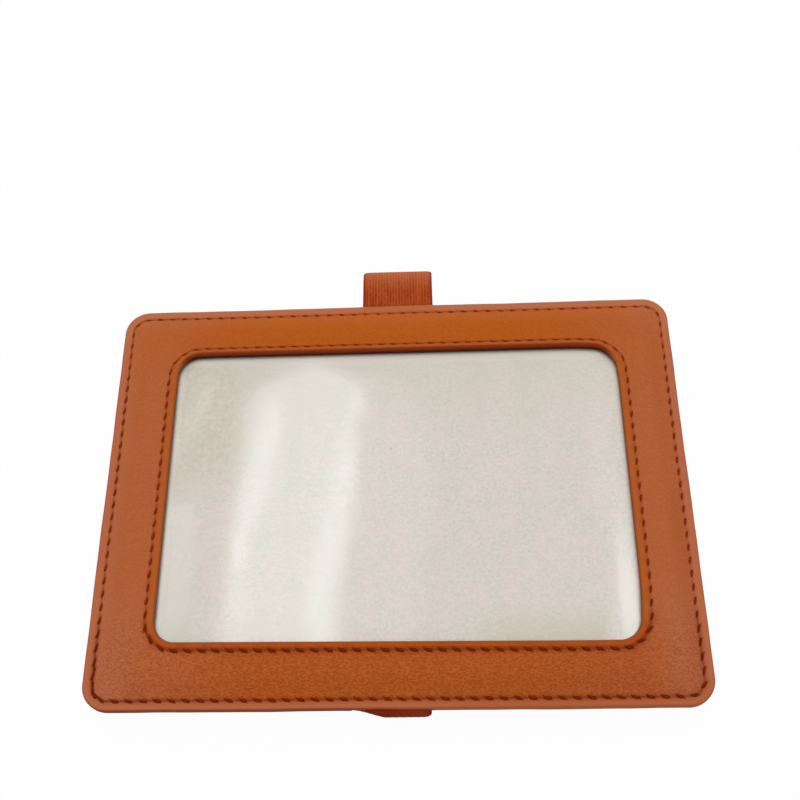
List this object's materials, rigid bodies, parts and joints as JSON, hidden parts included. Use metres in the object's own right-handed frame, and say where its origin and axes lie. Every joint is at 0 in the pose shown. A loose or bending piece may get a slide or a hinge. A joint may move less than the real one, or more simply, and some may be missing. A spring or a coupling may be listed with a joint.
{
  "type": "sun visor card holder",
  "caption": "Flat leather card holder with a clear framed window, a slotted back and an elastic strap that loops behind it to grip a car's sun visor.",
  "frame": {"origin": "on the strap's underside, below the centre of the panel", "axes": "+X to the holder's right, +Y to its top edge, +Z out of the window; the holder lies on its strap, window up"},
  "size_m": [0.115, 0.0973, 0.0103],
  "materials": {
    "leather": "tan coated leather with a fine pebble grain, satin",
    "board": "plain grey-brown stiffening board",
    "film": "clear soft plastic film, glossy",
    "lining": "warm grey felted fibre sheet, mottled, matte",
    "elastic": "ribbed woven elastic, red-brown, matte",
    "thread": "twisted sewing thread, dark red-brown"
  },
  "bodies": {
    "holder": {"front_skin": "leather", "front_board": "board", "window_film": "film", "pocket_lining": "lining", "back_board": "board", "back_skin": "leather", "strap_top_loop": "elastic", "strap_bottom_loop": "elastic", "outer_seam_thread": "thread", "outer_seam_bobbin": "thread", "window_seam_thread": "thread"},
    "strap": {"strap_back_run": "elastic"}
  },
  "joints": [
    {"name": "strap_stretch", "type": "slide", "parent": "holder", "child": "strap", "axis": [0, 0, -1], "range_m": [0, 0.022], "stiffness_N_per_m": 150, "deforming": ["strap_top_loop", "strap_bottom_loop"]}
  ]
}
